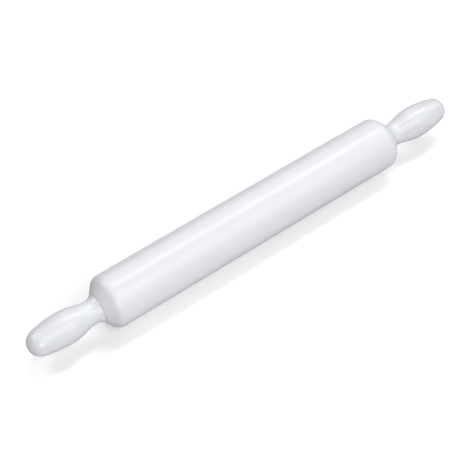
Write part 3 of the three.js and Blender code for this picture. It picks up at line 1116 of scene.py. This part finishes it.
class ROLLINGPIN_OT_add_seals(bpy.types.Operator):
    """Makes the rubber seals on both faces of each bearing"""

    bl_idname = "rolling_pin.add_seals"
    bl_label = "Add Seals"

    def execute(self, context):
        size, look = chosen(context, "bearing")
        lip = INNER_RADIUS + size.lip_gap
        lip_end = lip + size.lip_width
        bead = (lip_end + SEAL_RADIUS) / 2
        sunk = SEAL_END - size.bead_depth
        lip_root = SEAL_START + 0.35 * MM
        slant = 0.25 * MM
        bead_mouth = 0.35 * MM
        bead_floor = 0.1 * MM
        chamfer = 0.2 * MM
        places = [
            (SEAL_START, lip),
            (SEAL_START + size.lip_thickness, lip),
            (lip_root, lip_end),
            (SEAL_END, lip_end + slant),
            (SEAL_END, bead - bead_mouth),
            (sunk, bead - bead_floor),
            (sunk, bead + bead_floor),
            (SEAL_END, bead + bead_mouth),
            (SEAL_END, SEAL_RADIUS - chamfer),
            (SEAL_END - chamfer, SEAL_RADIUS),
            (SEAL_START, SEAL_RADIUS),
        ]
        facing_out = [(*place, THIN_EDGE) for place in places]
        facing_in = [(2 * BEARING_MIDDLE - along, out, THIN_EDGE) for along, out in places]
        finish = moulded("seal_nitrile", look.seal_rubber, roughness=0.6, grain=0.25 * MM)
        for face, corners in (("outer", facing_out), ("inner", facing_in)):
            names = (f"bearing_lip_seal_{face}", f"bearing_seal_{face}", "roller_body", "seal_rubber")
            turned_pair(context, *names, rounded(corners), size.segments, finish)
        return {"FINISHED"}


# Light panels: turn about the vertical from +X and height above the floor in degrees, then the distance
# and the size, first along the pin. The front left one stands near, so it lights the near end the most.
PANELS = {
    "front_left": (240, 22, 3.5, (1.54, 1.54)),
    "front": (285, 46, 10.0, (8.8, 7.0)),
    "strip": (27.6, 61.6, 10.0, (5.6, 1.6)),
    "right": (0, 45, 10.0, (4.4, 4.4)),
    "back_right": (60, 34, 10.0, (4.4, 8.4)),
    "back_left": (120, 45, 10.0, (4.4, 4.4)),
}


class ROLLINGPIN_OT_add_stage(bpy.types.Operator):
    """Lays the floor, sets the lights and points the camera as in the photograph"""

    bl_idname = "rolling_pin.add_stage"
    bl_label = "Add Stage"

    def add_floor(self, context, tone, stage):
        work = bmesh.new()
        bmesh.ops.create_grid(work, x_segments=1, y_segments=1, size=stage.floor_reach)
        mesh = bpy.data.meshes.new("studio_floor")
        work.to_mesh(mesh)
        work.free()
        mesh.materials.append(studio_floor("studio_floor", tone, stage))
        floor = in_scene(context, "studio_floor", mesh)

    def add_panel(self, context, name, turn, height, distance, size, watts):
        """A soft light panel that faces the pin from a direction in degrees, with its width along it."""
        level = math.cos(math.radians(height))
        turn = math.radians(turn)
        away = Vector((math.cos(turn) * level, math.sin(turn) * level, math.sin(math.radians(height))))
        along = (Vector((1, 0, 0)) - away * away.x).normalized()
        facing = Matrix((along, away.cross(along), away)).transposed()
        light = bpy.data.lights.new(name, "AREA")
        light.shape = "RECTANGLE"
        light.size, light.size_y = size
        light.energy = watts
        lamp = in_scene(context, name, light)
        lamp.location = Vector((0, 0, AXIS_HEIGHT)) + away * distance
        lamp.rotation_euler = facing.to_euler()

    def add_sky(self, context):
        """A white surrounding that is seen behind the floor and lights nothing."""
        world = bpy.data.worlds.new("studio_sky")
        world.use_nodes = True
        tree = NodeTree(world.node_tree)
        sky = world.node_tree.nodes["Background"].inputs
        sky["Color"].default_value = WHITE
        tree.join(tree.seen(), sky["Strength"])
        context.scene.world = world

    def add_camera(self, context, stage):
        turn = stage.view_turn
        height = stage.view_height
        level = math.cos(height)
        back = Vector((math.sin(turn) * level, -math.cos(turn) * level, math.sin(height)))
        right = Vector((math.cos(turn), math.sin(turn), 0))
        up = back.cross(right)
        focal_pixels = stage.view_lens / SENSOR_WIDTH * PHOTO_PIXELS
        metres_per_pixel = stage.view_distance / focal_pixels
        aside = (stage.picture_x - PHOTO_PIXELS / 2) * metres_per_pixel
        lower = (stage.picture_y - PHOTO_PIXELS / 2) * metres_per_pixel
        middle = Vector((0, 0, AXIS_HEIGHT))
        place = middle + back * stage.view_distance - right * aside + up * lower
        camera = bpy.data.cameras.new("photo_camera")
        camera.lens = stage.view_lens
        camera.sensor_width = SENSOR_WIDTH
        viewer = in_scene(context, "photo_camera", camera)
        basis = Matrix((right, up, back)).transposed()
        viewer.matrix_world = Matrix.Translation(place) @ basis.to_4x4()
        context.scene.camera = viewer

    def execute(self, context):
        stage, look = chosen(context, "stage")
        self.add_floor(context, look.floor, stage)
        self.add_camera(context, stage)
        for name, place in PANELS.items():
            self.add_panel(context, f"{name}_panel", *place, getattr(stage, f"{name}_power"))
        self.add_sky(context)
        context.scene.view_settings.view_transform = "Standard"
        return {"FINISHED"}


class ROLLINGPIN_PT_pieces(bpy.types.Panel):
    """Lists the pieces of the rolling pin and their sizes"""

    bl_idname = "ROLLINGPIN_PT_pieces"
    bl_label = "Rolling Pin"
    bl_space_type = "VIEW_3D"
    bl_region_type = "UI"
    bl_category = "Rolling Pin"

    def draw(self, context):
        settings = context.scene.rolling_pin
        for operator in OPERATORS:
            self.layout.operator(operator.bl_idname)
        for part in RollingPinSettings.__annotations__:
            group = getattr(settings, part)
            box = self.layout.box()
            box.label(text=part.title())
            for label in group.__annotations__:
                box.prop(group, label)


OPERATORS = (
    ROLLINGPIN_OT_add_roller,
    ROLLINGPIN_OT_add_handles,
    ROLLINGPIN_OT_add_axle,
    ROLLINGPIN_OT_add_spacers,
    ROLLINGPIN_OT_add_lock_nuts,
    ROLLINGPIN_OT_add_inserts,
    ROLLINGPIN_OT_add_bearing_rings,
    ROLLINGPIN_OT_add_cages_and_balls,
    ROLLINGPIN_OT_add_seals,
    ROLLINGPIN_OT_add_stage,
)
GROUPS = (
    RollerSizes,
    HandleSizes,
    AxleSizes,
    BearingSizes,
    FinishColours,
    StageSettings,
    RollingPinSettings,
)
CLASSES = (*GROUPS, *OPERATORS, ROLLINGPIN_PT_pieces)


def register():
    for entry in CLASSES:
        bpy.utils.register_class(entry)
    bpy.types.Scene.rolling_pin = PointerProperty(type=RollingPinSettings)


def unregister():
    del bpy.types.Scene.rolling_pin
    for entry in reversed(CLASSES):
        bpy.utils.unregister_class(entry)


def main():
    register()
    for operator in OPERATORS:
        group, name = operator.bl_idname.split(".")
        getattr(getattr(bpy.ops, group), name)()


if __name__ == "__main__":
    main()
